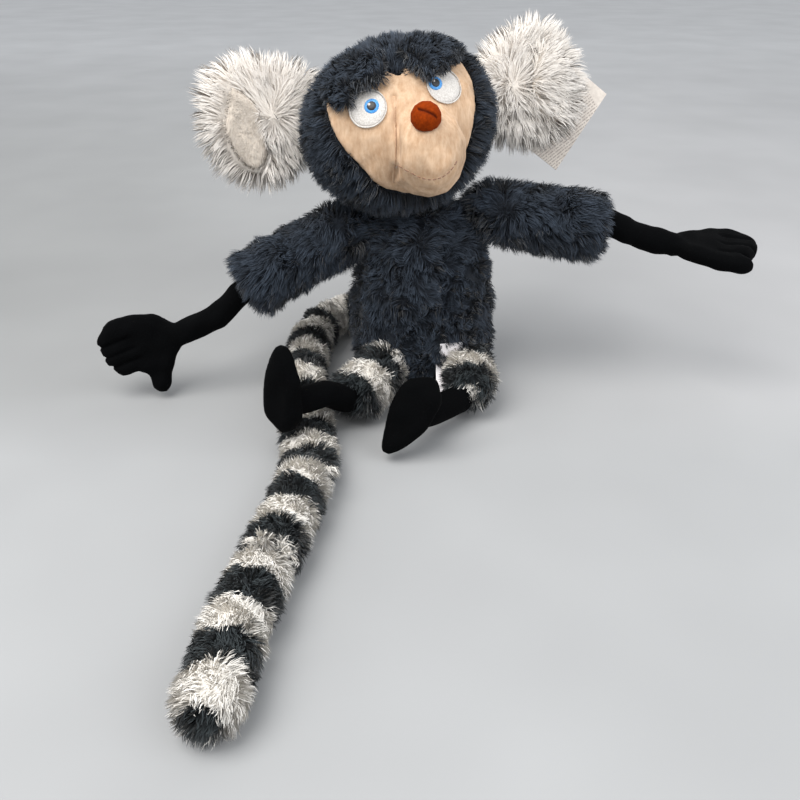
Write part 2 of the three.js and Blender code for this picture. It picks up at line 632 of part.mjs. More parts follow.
for (const [side, plan] of Object.entries(ARMS)) {
  const arm = buildArm(plan);
  addPiece(toy, `shoulder_thread_${side}`, arm.thread, look.thread);
  addPiece(toy, `sleeve_${side}`, arm.skin, look.slate);
  addPiece(toy, `sleeve_stuffing_${side}`, arm.filling, look.fill);
  addPiece(toy, `forearm_${side}`, arm.lower, look.black);
  addPiece(toy, `hand_${side}`, arm.end, look.black);
}
for (const [side, plan] of Object.entries(LEGS)) {
  const leg = buildLeg(plan);
  addPiece(toy, `hip_thread_${side}`, leg.thread, look.thread);
  addPiece(toy, `thigh_${side}`, leg.skin, look.striped);
  addPiece(toy, `thigh_stuffing_${side}`, leg.filling, look.fill);
  addPiece(toy, `shin_${side}`, leg.lower, look.black);
  addPiece(toy, `foot_${side}`, leg.end, look.black);
}
const tail = buildTail();
addPiece(toy, 'tail_thread', tail.thread, look.thread);
tail.sections.forEach((solid, i) => {
  addPiece(toy, `tail_section_${i + 1}`, solid, look.striped);
});

export default toy;
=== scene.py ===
import json
import math

import bmesh
import bpy
import numpy as np
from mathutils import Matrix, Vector
from mathutils.bvhtree import BVHTree
from mathutils.kdtree import KDTree


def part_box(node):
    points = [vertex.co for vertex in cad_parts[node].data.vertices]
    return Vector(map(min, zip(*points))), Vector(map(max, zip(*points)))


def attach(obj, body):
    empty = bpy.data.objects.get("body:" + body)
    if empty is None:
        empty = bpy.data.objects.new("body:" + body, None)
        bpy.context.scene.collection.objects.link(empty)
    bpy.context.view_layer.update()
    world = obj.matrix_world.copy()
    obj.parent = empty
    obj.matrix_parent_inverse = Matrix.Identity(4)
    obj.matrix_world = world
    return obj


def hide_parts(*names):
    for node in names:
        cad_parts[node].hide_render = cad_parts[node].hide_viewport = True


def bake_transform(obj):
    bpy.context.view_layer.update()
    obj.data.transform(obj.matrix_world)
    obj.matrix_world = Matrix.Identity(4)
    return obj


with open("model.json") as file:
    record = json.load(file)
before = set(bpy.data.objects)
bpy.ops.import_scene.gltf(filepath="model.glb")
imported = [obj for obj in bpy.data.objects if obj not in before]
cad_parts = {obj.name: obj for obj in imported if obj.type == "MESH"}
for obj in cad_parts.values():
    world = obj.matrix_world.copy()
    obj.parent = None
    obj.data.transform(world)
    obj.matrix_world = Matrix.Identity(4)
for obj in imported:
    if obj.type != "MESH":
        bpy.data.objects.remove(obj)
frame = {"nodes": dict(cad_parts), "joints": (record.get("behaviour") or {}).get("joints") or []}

# A stuffed marmoset: skins grown with hairs that are real geometry, black velour limbs, an embroidered
# face and a banded tail. Metres. It faces -Y and +Z is up, so its left side is +X.
NODES = frame["nodes"]
JOINTS = {joint["name"]: joint for joint in frame["joints"]}
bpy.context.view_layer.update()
MM = 0.001
UP = np.array([0.0, 0.0, 1.0])
SIDES = {"right": -1, "left": 1}


# ---------- camera ----------
CAMERA_LENS = 36  # millimetres, on a sensor of the same width
CAMERA_PLACE = (-0.015, -0.512, 0.276)
CAMERA_TILT = 60  # degrees from looking straight down


def make_camera():
    data = bpy.data.cameras.new("camera")
    data.lens = CAMERA_LENS
    data.sensor_width = CAMERA_LENS
    camera = bpy.data.objects.new("camera", data)
    camera.location = CAMERA_PLACE
    camera.rotation_euler = (math.radians(CAMERA_TILT), 0, 0)
    bpy.context.scene.collection.objects.link(camera)
    bpy.context.scene.camera = camera


make_camera()


# ---------- places read from the frame ----------
def unit(v):
    v = np.asarray(v, float)
    return v / np.maximum(np.linalg.norm(v, axis=-1, keepdims=True), 1e-9)


def centre(node):
    low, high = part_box(node)
    return np.array((low + high) / 2)


def joint_at(name):
    return np.array(JOINTS[name]["pos_m"], float)


def arrays(mesh):
    """The points and triangles of a mesh."""
    points = np.empty(len(mesh.vertices) * 3)
    mesh.vertices.foreach_get("co", points)
    mesh.calc_loop_triangles()
    triangles = np.empty(len(mesh.loop_triangles) * 3, np.int32)
    mesh.loop_triangles.foreach_get("vertices", triangles)
    return points.reshape(-1, 3), triangles.reshape(-1, 3)


def tree_of(*names):
    """A search tree of the surfaces of several CAD nodes."""
    points, triangles = merged(names)
    return BVHTree.FromPolygons(points.tolist(), triangles.tolist())


def merged(names):
    """The points and triangles of several CAD nodes as one mesh."""
    points, triangles, start = [], [], 0
    for name in names:
        p, t = arrays(NODES[name].data)
        points.append(p)
        triangles.append(t + start)
        start += len(p)
    return np.concatenate(points), np.concatenate(triangles)


# The head's own axes: right-hand to left-hand side, chin to crown, and forwards.
HEAD = centre("head_stuffing")
HEAD_LEFT = unit(centre("eye_left") - centre("eye_right"))
MUZZLE_TO_BROW = centre("forelock_left") + centre("forelock_right") - 2 * centre("muzzle_panel")
HEAD_FRONT = unit(np.cross(HEAD_LEFT, MUZZLE_TO_BROW))
HEAD_FRONT = unit(HEAD_FRONT * (1 if HEAD_FRONT[1] < 0 else -1))
HEAD_UP = unit(np.cross(HEAD_FRONT, HEAD_LEFT))
if HEAD_UP[2] < 0:
    HEAD_UP = -HEAD_UP


# ---------- meshes ----------
def mesh_object(name, points, faces):
    faces = np.asarray(faces, np.int32)
    count, sides = faces.shape
    mesh = bpy.data.meshes.new(name)
    mesh.vertices.add(len(points))
    mesh.vertices.foreach_set("co", np.asarray(points, np.float32).ravel())
    mesh.loops.add(count * sides)
    mesh.loops.foreach_set("vertex_index", faces.ravel())
    mesh.polygons.add(count)
    mesh.polygons.foreach_set("loop_start", np.arange(count, dtype=np.int32) * sides)
    mesh.polygons.foreach_set("use_smooth", np.full(count, True))
    mesh.update(calc_edges=True)
    made = bpy.data.objects.new(name, mesh)
    bpy.context.scene.collection.objects.link(made)
    return made


def settle(obj):
    """Applies an object's modifiers."""
    evaluated = obj.evaluated_get(bpy.context.evaluated_depsgraph_get())
    mesh = bpy.data.meshes.new_from_object(evaluated)
    obj.modifiers.clear()
    obj.data = mesh
    return obj


def hull_of(points):
    """The points and triangles of a convex hull."""
    mesh = bpy.data.meshes.new("hull")
    mesh.from_pydata(points.tolist(), [], [])
    shape = bmesh.new()
    shape.from_mesh(mesh)
    bmesh.ops.convex_hull(shape, input=shape.verts)
    bmesh.ops.triangulate(shape, faces=shape.faces)
    shape.to_mesh(mesh)
    shape.free()
    return arrays(mesh)


def stuffed(name, nodes, voxel=2.5, relax=6, hull=False, inset=0.0):
    """A skin over CAD nodes: their surfaces or their hull, made one closed mesh, smoothed and drawn in.
    voxel and inset are in millimetres, and relax is a number of smoothing steps."""
    points, triangles = merged(nodes)
    if hull:
        points, triangles = hull_of(points)
    obj = mesh_object(name, points, triangles)
    remesh = obj.modifiers.new("remesh", "REMESH")
    remesh.mode = "VOXEL"
    remesh.voxel_size = voxel * MM
    remesh.use_smooth_shade = True
    smooth = obj.modifiers.new("smooth", "SMOOTH")
    smooth.iterations = relax
    smooth.factor = 0.5
    settle(obj)
    if inset:
        displace(obj, np.full(len(obj.data.vertices), -inset * MM))
    return obj


def waves(points, wavelength, seed, count=7):
    """A smooth random field from -1 to 1 or so: sines of random directions and lengths."""
    rng = np.random.default_rng(seed)
    total = np.zeros(len(points))
    for _ in range(count):
        direction = unit(rng.normal(size=3)) * 2 * math.pi / (wavelength * MM * rng.uniform(0.6, 1.6))
        total += np.sin(points @ direction + rng.uniform(0, 2 * math.pi))
    return total / math.sqrt(count)


def swirl(points, wavelength, seed):
    """A smooth field of random directions, for crushed pile."""
    return np.stack([waves(points, wavelength, seed + axis) for axis in range(3)], 1)


def normals_of(mesh):
    normals = np.empty(len(mesh.vertices) * 3)
    mesh.vertex_normals.foreach_get("vector", normals)
    return normals.reshape(-1, 3)


def place_points(obj, points):
    obj.data.vertices.foreach_set("co", points.astype(np.float32).ravel())
    obj.data.update()


def displace(obj, amount):
    """Moves each vertex along its normal by amount, a number for each vertex, in metres."""
    points, _ = arrays(obj.data)
    place_points(obj, points + normals_of(obj.data) * np.asarray(amount)[:, None])


def lumpy(obj, height, wavelength, seed):
    """Soft lumps, with their height and wavelength in millimetres."""
    points, _ = arrays(obj.data)
    displace(obj, waves(points, wavelength, seed) * height * MM)


# ---------- fur ----------
CM2_PER_M2 = 1e4


def scatter(obj, per_cm2, rng):
    """Random places on a mesh and the smooth normals there."""
    points, triangles = arrays(obj.data)
    normals = normals_of(obj.data)
    a, b, c = (points[triangles[:, k]] for k in range(3))
    area = np.linalg.norm(np.cross(b - a, c - a), axis=1) / 2
    count = int(area.sum() * CM2_PER_M2 * per_cm2)
    pick = rng.choice(len(triangles), count, p=area / area.sum())
    u = np.sqrt(rng.random(count))
    v = rng.random(count)
    weights = np.stack([1 - u, u * (1 - v), u * v], 1)[:, :, None]
    corners = triangles[pick]
    return (points[corners] * weights).sum(1), unit((normals[corners] * weights).sum(1))


def nearest(points, centres):
    """The index of the nearest centre to each point."""
    tree = KDTree(len(centres))
    for index, point in enumerate(centres):
        tree.insert(point, index)
    tree.balance()
    return np.array([tree.find(point)[1] for point in points])


def give_values(obj, name, values):
    """Stores a number for each vertex, for a material to read."""
    attribute = obj.data.attributes.new(name, "FLOAT", "POINT")
    attribute.data.foreach_set("value", np.asarray(values, np.float32))


# A hair is a ribbon of five points: two at the root, two in the middle and the tip.
HAIR_POINTS = 5
HAIR_FACES = np.array([(0, 1, 3), (0, 3, 2), (2, 3, 4)])
HAIR_ALONG = np.array([0, 0, 0.5, 0.5, 1])
HAIR_BOW = 0.12  # how far the middle stands off the straight line, as a share of the length
HAIR_TAPER = 0.85  # the middle's width as a share of the root's
HAIR_ROOT = 0.6  # millimetres that a root is sunk into the skin
HAIR_TWIST = 0.55  # how much the ribbons are turned about their own length
MIDDLE_GATHER = 0.35  # how far a hair's middle is drawn into its clump, as a share of the tip's pull


def hairs(name, roots, normals, comb, rng, length=8, width=0.55, lift=0.9, wild=0.25, clump=20,
          pull=0.6, droop=0.1, softness=0.65):
    """Tapering hairs, each a folded ribbon. They stand on roots, lean along comb, and gather in clumps
    of about clump hairs. Their shading normals lean towards the skin's, as a soft pile's do."""
    count = len(roots)
    length = np.broadcast_to(length, count) * MM * rng.uniform(0.7, 1.15, count)
    axis = unit(lift * normals + comb + wild * rng.normal(size=(count, 3)))
    bow = normals * (length * HAIR_BOW)[:, None]
    middle = roots + axis * (length * 0.5)[:, None] + bow
    tip = roots + axis * length[:, None] - UP * (droop * length)[:, None]
    leaders = rng.choice(count, max(1, count // clump), replace=False)
    leader = nearest(roots, roots[leaders])
    follow = leaders[leader]
    gather = pull * rng.uniform(0.4, 1, count)[:, None]
    middle = middle + (middle[follow] - middle) * gather * MIDDLE_GATHER
    tip = tip + (tip[follow] - tip) * gather
    facing = unit(normals + HAIR_TWIST * rng.normal(size=(count, 3)))
    across = unit(np.cross(axis, facing)) * (width * MM / 2 * rng.uniform(0.7, 1.2, count))[:, None]
    outwards = (np.cross(across, axis) * normals).sum(1) > 0
    across = np.where(outwards[:, None], across, -across)
    root = roots - normals * HAIR_ROOT * MM
    narrow = across * HAIR_TAPER
    points = np.stack([root - across, root + across, middle - narrow, middle + narrow, tip], 1)
    faces = (np.arange(count)[:, None, None] * HAIR_POINTS + HAIR_FACES[None]).reshape(-1, 3)
    obj = mesh_object(name, points.reshape(-1, 3), faces)
    ribbon = unit(np.cross(across, axis))
    shading = unit(softness * normals + (1 - softness) * ribbon + 0.1 * axis)
    shading = np.repeat(shading, HAIR_POINTS, axis=0).astype(np.float32)
    obj.data.normals_split_custom_set_from_vertices(shading)
    clump_shade = rng.random(len(leaders))[leader]
    shade = 0.5 * rng.random(count) + 0.5 * clump_shade
    give_values(obj, "along", np.tile(HAIR_ALONG, count))
    give_values(obj, "shade", np.repeat(shade, HAIR_POINTS))
    return obj


# ---------- materials ----------
class Nodes:
    """A node material being built: add() makes a node and sets or links its inputs."""

    def __init__(self, name):
        self.material = bpy.data.materials.new(name)
        self.material.use_nodes = True
        self.tree = self.material.node_tree
        self.shader = self.tree.nodes["Principled BSDF"]

    def add(self, kind, inputs=None, **settings):
        node = self.tree.nodes.new(kind)
        for key, value in settings.items():
            setattr(node, key, value)
        for key, value in (inputs or {}).items():
            self.join(node.inputs[key], value)
        return node

    def join(self, socket, value):
        if isinstance(value, bpy.types.NodeSocket):
            self.tree.links.new(value, socket)
        else:
            socket.default_value = value

    def set(self, **values):
        for key, value in values.items():
            self.join(self.shader.inputs[key.replace("_", " ")], value)

    def place(self):
        return self.add("ShaderNodeTexCoord").outputs["Object"]

    def noise(self, scale, detail=3, vector=None, roughness=0.55):
        return self.add(
            "ShaderNodeTexNoise",
            {"Vector": vector or self.place(), "Scale": scale, "Detail": detail, "Roughness": roughness},
        ).outputs["Fac"]

    def ramp(self, fac, stops):
        node = self.add("ShaderNodeValToRGB", {"Fac": fac})
        elements = node.color_ramp.elements
        while len(elements) < len(stops):
            elements.new(0.5)
        for element, (position, colour) in zip(elements, stops):
            element.position = position
            element.color = rgba(colour)
        return node.outputs["Color"]

    def mix(self, fac, a, b, blend="MIX"):
        node = self.add("ShaderNodeMix", data_type="RGBA", blend_type=blend)
        for socket, value in ((node.inputs[0], fac), (node.inputs[6], a), (node.inputs[7], b)):
            self.join(socket, value)
        return node.outputs[2]

    def math(self, operation, a, b=0.0):
        node = self.add("ShaderNodeMath", operation=operation)
        self.join(node.inputs[0], a)
        self.join(node.inputs[1], b)
        return node.outputs[0]

    def attribute(self, name):
        return self.add("ShaderNodeAttribute", attribute_name=name).outputs["Fac"]

    def bump(self, height, strength, distance):
        node = self.add("ShaderNodeBump", {"Height": height, "Strength": strength, "Distance": distance})
        self.set(Normal=node.outputs["Normal"])


def linear(colour):
    """Linear light from 0-255 display values."""
    share = np.array(colour, float) / 255
    return np.where(share <= 0.04045, share / 12.92, ((share + 0.055) / 1.055) ** 2.4)


def rgba(colour):
    return (*linear(colour), 1.0)


def grey(value):
    return (value, value, value)


WHITE_TONE = grey(255)


def fur_material(name, root, body, tip, low=168, dirt=grey(128), dirt_share=0.0):
    """Pile: dark at the root and lighter at the tip, the darker root being painted shade for the shade that
    falls deep among the hairs; each hair and each clump a little different.
    """
    n = Nodes(name)
    # Painted shade: the colour darkens towards the root, where the hairs shade one another.
    colour = n.ramp(n.attribute("along"), [(0.0, root), (0.45, body), (1.0, tip)])
    shade = n.ramp(n.attribute("shade"), [(0.0, grey(low)), (1.0, WHITE_TONE)])
    colour = n.mix(1.0, colour, shade, "MULTIPLY")
    patch = n.ramp(n.noise(45, 4), [(0.35, grey((low + 255) // 2)), (0.65, WHITE_TONE)])
    colour = n.mix(0.8, colour, patch, "MULTIPLY")
    if dirt_share:
        colour = n.mix(n.math("MULTIPLY", n.noise(70, 2), dirt_share), colour, rgba(dirt))
    n.set(Base_Color=colour, Roughness=0.88)
    n.shader.inputs["Specular IOR Level"].default_value = 0.25
    n.shader.inputs["Sheen Weight"].default_value = 0.15
    n.shader.inputs["Sheen Roughness"].default_value = 0.5
    return n.material


def pile_material(name, dark, light, grain=900, depth=0.5, sheen=0.25, streaks=None, shine=0.2):
    """Short pile seen as cloth: a fine nap, and soft patches where the nap lies another way."""
    n = Nodes(name)
    place = n.place()
    if streaks:
        place = n.add("ShaderNodeMapping", {"Vector": place, "Scale": streaks}).outputs["Vector"]
    nap = n.noise(grain, 3, place, 0.65)
    patch = n.noise(60, 3)
    colour = n.ramp(nap, [(0.3, dark), (0.7, light)])
    soft = n.ramp(patch, [(0.35, grey(214)), (0.65, WHITE_TONE)])
    n.set(Base_Color=n.mix(0.7, colour, soft, "MULTIPLY"), Roughness=0.92)
    n.shader.inputs["Specular IOR Level"].default_value = shine
    n.shader.inputs["Sheen Weight"].default_value = sheen
    n.shader.inputs["Sheen Roughness"].default_value = 0.45
    height = n.math("ADD", nap, n.math("MULTIPLY", patch, 0.6))
    n.bump(height, depth, 0.6 * MM)
    return n.material


# Each fur's first colour is its root's, darkened there as painted shade.
SLATE = fur_material("slate_fur", (13, 17, 24), (38, 46, 57), (80, 91, 106))
SLATE_SKIN = pile_material("slate_backing", (14, 18, 24), (30, 36, 45))
WHITE = fur_material("white_fur", (228, 220, 211), (236, 229, 221), (244, 239, 233), 240)
WHITE_SKIN = pile_material("white_backing", (226, 218, 209), (238, 231, 223))
BAND_WHITE = fur_material("band_white_fur", (232, 227, 219), (242, 237, 229), (248, 244, 238), 234,
                          dirt=(150, 153, 154), dirt_share=0.15)
BAND_DARK = fur_material("band_dark_fur", (16, 20, 23), (40, 47, 50), (86, 94, 97))
BAND_SKIN_WHITE = pile_material("band_white_backing", (226, 221, 214), (244, 240, 233))
BAND_SKIN_DARK = pile_material("band_dark_backing", (18, 22, 25), (34, 39, 42))
CREAM = pile_material("cream_pile", (200, 188, 174), (220, 210, 198), 700)
CREAM_NAP = fur_material("cream_nap", (204, 193, 180), (216, 206, 194), (228, 219, 208), 238)
FACE = pile_material("face_pile", (188, 153, 121), (218, 188, 158), 330, 0.8, 0.05, (1.0, 1.0, 0.35))
BLACK = pile_material("black_velour", (1, 1, 2), (3, 4, 5), 1100, 0.3, 0.0, shine=0.06)


# ---------- dressing a piece ----------
# Lengths of the pile in millimetres.
PILE = 7.5  # on the torso, sleeves and tail
SEAM_EXTRA = 5  # as much longer where it covers a seam
BROW_PILE = 6.5
HOOD_PILE = 9.5
RUFF_EXTRA = 4  # as much longer under the chin
EAR_PILE = 15
TUFT_PILE = 13
NAP_PILE = 2.4
THIGH_PILE = 9


def dress(obj, body, material=None, replaces=()):
    """Gives a piece its material and body, and hides the CAD nodes it replaces."""
    if material:
        obj.data.materials.clear()
        obj.data.materials.append(material)
    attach(obj, body)
    if replaces:
        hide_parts(*replaces)
    return obj


def furry(name, skin, body, slot, material, comb, seed, per_cm2, keep=None, **style):
    """Grows hairs on a skin. comb and keep take the places and normals, and give a lean and what to keep.
    A style value that is a function is worked out from the places."""
    rng = np.random.default_rng(seed)
    points, normals = scatter(skin, per_cm2, rng)
    if keep is not None:
        kept = keep(points, normals)
        points, normals = points[kept], normals[kept]
    for key, value in style.items():
        if callable(value):
            style[key] = value(points)
    fur = hairs(name, points, normals, comb(points, normals), rng, **style)
    return dress(fur, body, material)


# ---------- torso and neck ----------
TORSO_NODES = ["torso_front_panel", "torso_back_panel", "seat_panel", "torso_stuffing", "pellet_bag"]
SHOULDER_LINE = 92  # millimetres above the floor, where the torso's pile begins to lengthen
FOLD_PLACE = 11  # millimetres to the left of the middle, where a soft fold runs down the belly


def body_comb(points, normals):
    """Crushed and curling, and over the shoulders brushed out onto the sleeves."""
    high = np.clip((points[:, 2] / MM - SHOULDER_LINE) / 16, 0, 1)[:, None]
    outward = np.sign(points[:, :1]) * np.array([1.0, 0, 0])
    crushed = 0.85 * (1 - 0.5 * high) * swirl(points, 13, 11)
    return -0.45 * UP * (1 - high) + 0.8 * high * outward + crushed


def torso_length(points):
    """The pile is longer at the shoulders, where it fills the seams of the sleeves and the hood."""
    return PILE + SEAM_EXTRA * np.clip((points[:, 2] / MM - SHOULDER_LINE) / 20, 0, 1)


def above_floor(height):
    """Keeps the hairs that start above a height in millimetres and don't point straight down."""
    def keep(points, normals):
        return (points[:, 2] > height * MM) & (normals[:, 2] > -0.75)
    return keep


def build_torso():
    skin = stuffed("torso_plush", TORSO_NODES[:3], 3, 8, hull=True, inset=2)
    lumpy(skin, 1.0, 40, 5)
    points, _ = arrays(skin.data)
    front = np.clip(-points[:, 1] / (30 * MM), 0, 1)
    from_fold = points[:, 0] / MM - FOLD_PLACE - 3 * np.sin(points[:, 2] / (22 * MM))
    ridge = 2.4 * np.exp(-((from_fold + 5) / 5) ** 2)
    valley = 3.2 * np.exp(-((from_fold - 3) / 3.5) ** 2)
    displace(skin, front * (ridge - valley) * MM)
    furry("torso_fur", skin, "torso", "slate_plush", SLATE, body_comb, seed=21, per_cm2=150,
          keep=above_floor(3), length=torso_length, wild=0.3, pull=0.65)
    dress(skin, "torso", SLATE_SKIN, TORSO_NODES)
    neck = stuffed("neck_plush", ["neck_stuffing"], 2, 4)
    dress(neck, "neck", SLATE_SKIN, ["neck_stuffing"])


build_torso()


# ---------- head ----------
def in_head(points):
    """Head coordinates in millimetres: across to its left, up, and forwards."""
    offset = np.asarray(points) - HEAD
    return np.stack([offset @ HEAD_LEFT, offset @ HEAD_UP, offset @ HEAD_FRONT], -1) / MM


def head_point(x, z, front):
    """The place at head coordinates across, up and forwards."""
    return HEAD + (HEAD_LEFT * x + HEAD_UP * z + HEAD_FRONT * front) * MM


def hood_comb(points, normals):
    """The hood's pile lies away from the middle of the face, as a ruff."""
    away = in_head(points)
    away[:, 2] = 0
    away = unit(away)
    outward = away[:, :1] * HEAD_LEFT + away[:, 1:2] * HEAD_UP
    return 0.75 * outward - 0.15 * UP + 0.45 * swirl(points, 14, 31)


def hood_length(points):
    """Longest under the chin, where the ruff covers the neck."""
    return HOOD_PILE + RUFF_EXTRA * np.clip(-in_head(points)[:, 1] / 25 - 1, 0, 1)


# The seam down the right edge of the muzzle, in head coordinates.
MUZZLE_SEAM = np.array([(-7, 4), (-8.5, -3), (-12, -14), (-15, -24), (-18.5, -36)])
SEAM_WIDTH = 1.5
SEAM_DEPTH = 2.4
SEAM_THREAD_RADIUS = 0.4
SEAM_THREAD_LIFT = 0.3


def seam_distance(across, up):
    """How far each place is from the muzzle seam, in millimetres."""
    best = np.full(len(across), 1e9)
    place = np.stack([across, up], 1)
    for a, b in zip(MUZZLE_SEAM[:-1], MUZZLE_SEAM[1:]):
        along = b - a
        share = np.clip(((place - a) @ along) / (along @ along), 0, 1)
        best = np.minimum(best, np.linalg.norm(place - a - share[:, None] * along, axis=1))
    return best


def face_seam(face):
    """Sinks the muzzle seam into the front of the face."""
    across, up, front = in_head(arrays(face.data)[0]).T
    groove = np.exp(-(seam_distance(across, up) / SEAM_WIDTH) ** 2) * (front > 5)
    displace(face, -SEAM_DEPTH * MM * groove)


# How low the fur over the brows reaches, in head coordinates: places across the head, and heights there.
BROW_ACROSS = (-38, -27, -6, 1, 8, 17, 27, 40)
BROW_HEIGHT = (0, 13, 13, 17, 6, 5, 11, 18)
BROW_OVERHANG = 3  # millimetres from the last roots to the edge that the hair makes
HOOD_REACH = 5  # millimetres from the hood's nodes within which hair grows on its skin


def build_head():
    hood_nodes = ["hood_left", "hood_right", "head_stuffing"]
    skin = stuffed("hood_plush", hood_nodes, 2.5, 5, inset=3)
    face_tree = tree_of("face_panel", "muzzle_panel", "eye_left", "eye_right")
    hood_tree = tree_of("hood_left", "hood_right")

    def on_hood(points, normals):
        """Keeps the hairs that start nearer to the hood than to the face or eyes."""
        kept = []
        for point in points:
            face = face_tree.find_nearest(point)[3]
            hood = hood_tree.find_nearest(point)[3]
            kept.append(hood < face and hood < HOOD_REACH * MM)
        return np.array(kept)

    furry("hood_fur", skin, "head", "slate_plush", SLATE, hood_comb, seed=33, per_cm2=200,
          keep=on_hood, length=hood_length, lift=0.8, wild=0.22, clump=22, pull=0.65, droop=0.05)
    dress(skin, "head", SLATE_SKIN, hood_nodes)

    for side, sign in SIDES.items():
        node = f"forelock_{side}"
        lock = stuffed(f"forelock_plush_{side}", [node], 1.5, 3, inset=1)

        points, _ = arrays(lock.data)
        across, up, _ = in_head(points).T
        edge = np.interp(across, BROW_ACROSS, BROW_HEIGHT) + BROW_OVERHANG
        raised = np.clip(edge - up, 0, None)[:, None] * HEAD_UP * MM
        place_points(lock, points + raised)

        def comb(points, normals, sign=sign):
            return -0.15 * HEAD_UP + 0.4 * sign * HEAD_LEFT + 0.45 * swirl(points, 12, 35)

        furry(f"forelock_fur_{side}", lock, "head", "slate_plush", SLATE, comb, seed=36 + sign,
              per_cm2=230, length=BROW_PILE, clump=22, pull=0.65)
        dress(lock, "head", SLATE_SKIN, [node])

    face = stuffed("face_plush", ["face_panel", "muzzle_panel"], 1.3, 6)
    lumpy(face, 0.35, 22, 41)
    face_seam(face)
    dress(face, "head", FACE, ["face_panel", "muzzle_panel", "muzzle_stuffing"])
    return face


FACE_SKIN = build_head()
FACE_TREE = BVHTree.FromPolygons(*(a.tolist() for a in arrays(FACE_SKIN.data)))


WELL_IN_FRONT = 120  # millimetres forwards, in head coordinates
NEAR_THE_FACE = 40


def on_face(x, z, lift=0.0):
    """The place lift millimetres off the face at head coordinates x, z, and the face's normal there."""
    start = head_point(x, z, WELL_IN_FRONT)
    place, normal, _, _ = FACE_TREE.ray_cast(Vector(start), Vector(-HEAD_FRONT))
    if place is None:
        place, normal, _, _ = FACE_TREE.find_nearest(Vector(head_point(x, z, NEAR_THE_FACE)))
    return np.array(place) + np.array(normal) * lift * MM, np.array(normal)


PATCH_ROOT = 0.6  # millimetres that a patch goes down below its lift


def patch(name, middle, radius, lift, thickness, rings=9, spokes=72, ridge=0.0, threads=0):
    """A thin disc that follows the face. Ridges run outwards like satin stitches."""
    points = []
    for ring in range(rings + 1):
        share = ring / rings
        for spoke in range(spokes):
            angle = spoke * 2 * math.pi / spokes
            x = radius * share * math.cos(angle)
            z = radius * share * math.sin(angle)
            edge = math.sqrt(max(0.0, 1 - share ** 4))
            stitch = ridge * math.cos(threads * angle) * share
            place, normal = on_face(middle[0] + x, middle[1] + z)
            points.append((place, normal, lift + thickness * edge + stitch))
    top = np.array([place + normal * height * MM for place, normal, height in points])
    low = np.array([place + normal * (lift - PATCH_ROOT) * MM for place, normal, _ in points])
    faces = []
    last = (rings + 1) * spokes
    for offset, flip in ((0, False), (last, True)):
        for ring in range(rings):
            for spoke in range(spokes):
                a = offset + ring * spokes + spoke
                b = offset + ring * spokes + (spoke + 1) % spokes
                quad = [a, a + spokes, b + spokes, b]
                faces.append(quad[::-1] if flip else quad)
    for spoke in range(spokes):
        a = rings * spokes + spoke
        b = rings * spokes + (spoke + 1) % spokes
        faces.append([a, a + last, b + last, b])
    return mesh_object(name, np.concatenate([top, low]), faces)


def thread_material(name, dark, light, scale=1400):
    n = Nodes(name)
    fibre = n.noise(scale, 2, None, 0.5)
    n.set(Base_Color=n.ramp(fibre, [(0.35, dark), (0.65, light)]), Roughness=0.45)
    n.shader.inputs["Sheen Weight"].default_value = 0.3
    n.bump(fibre, 0.35, 0.2 * MM)
    return n.material


EYE_WHITE = thread_material("eye_white_thread", (176, 171, 165), (208, 204, 199))
IRIS = thread_material("iris_thread", (38, 116, 190), (84, 168, 232))
PUPIL = thread_material("pupil_thread", (8, 9, 12), (26, 28, 34))
BROWN_THREAD = thread_material("mouth_thread", (104, 70, 46), (132, 94, 66))
SEAM_THREAD = thread_material("muzzle_seam_thread", (150, 112, 82), (176, 138, 106))
DARK_THREAD = thread_material("seam_thread", (20, 22, 26), (44, 48, 54))


def stitch_tube(name, paths, radius, sides=6):
    """Rounded threads, each along its own points and thinner at its ends."""
    points, faces = [], []
    for path in paths:
        path = np.asarray(path)
        steps = len(path)
        along = unit(np.gradient(path, axis=0))
        first = unit(np.cross(along, unit(np.array([0.3, 0.5, 0.8]))))
        second = np.cross(along, first)
        start = len(points)
        for k in range(steps):
            width = radius * MM * math.sin(math.pi * (k + 0.5) / steps) ** 0.4
            for s in range(sides):
                angle = s * 2 * math.pi / sides
                points.append(path[k] + (first[k] * math.cos(angle) + second[k] * math.sin(angle)) * width)
        for k in range(steps - 1):
            for s in range(sides):
                a = start + k * sides + s
                b = start + k * sides + (s + 1) % sides
                faces.append([a, b, b + sides])
                faces.append([a, b + sides, a + sides])
        for s in range(1, sides - 1):
            faces.append([start, start + s + 1, start + s])
            end = start + (steps - 1) * sides
            faces.append([end, end + s, end + s + 1])
    return mesh_object(name, np.array(points), faces)


EYE_RADIUS = 10.2
IRIS_RADIUS = 4.1
PUPIL_RADIUS = 2.5
GLINT_RADIUS = 0.8
GLINT = (-1.0, 1.1)  # from the middle of the pupil
RIM_RADIUS = 0.55
RIM_LIFT = 0.9
GAZE = {"right": (2.2, 0.2), "left": (-5.0, 2.2)}  # where each iris sits on its white, in millimetres


def eye_ring(x, z, radius):
    """Points round the edge of an eye's white, on the face."""
    turns = np.linspace(0, 2 * math.pi, 49)
    return [on_face(x + radius * math.cos(turn), z + radius * math.sin(turn), RIM_LIFT)[0] for turn in turns]


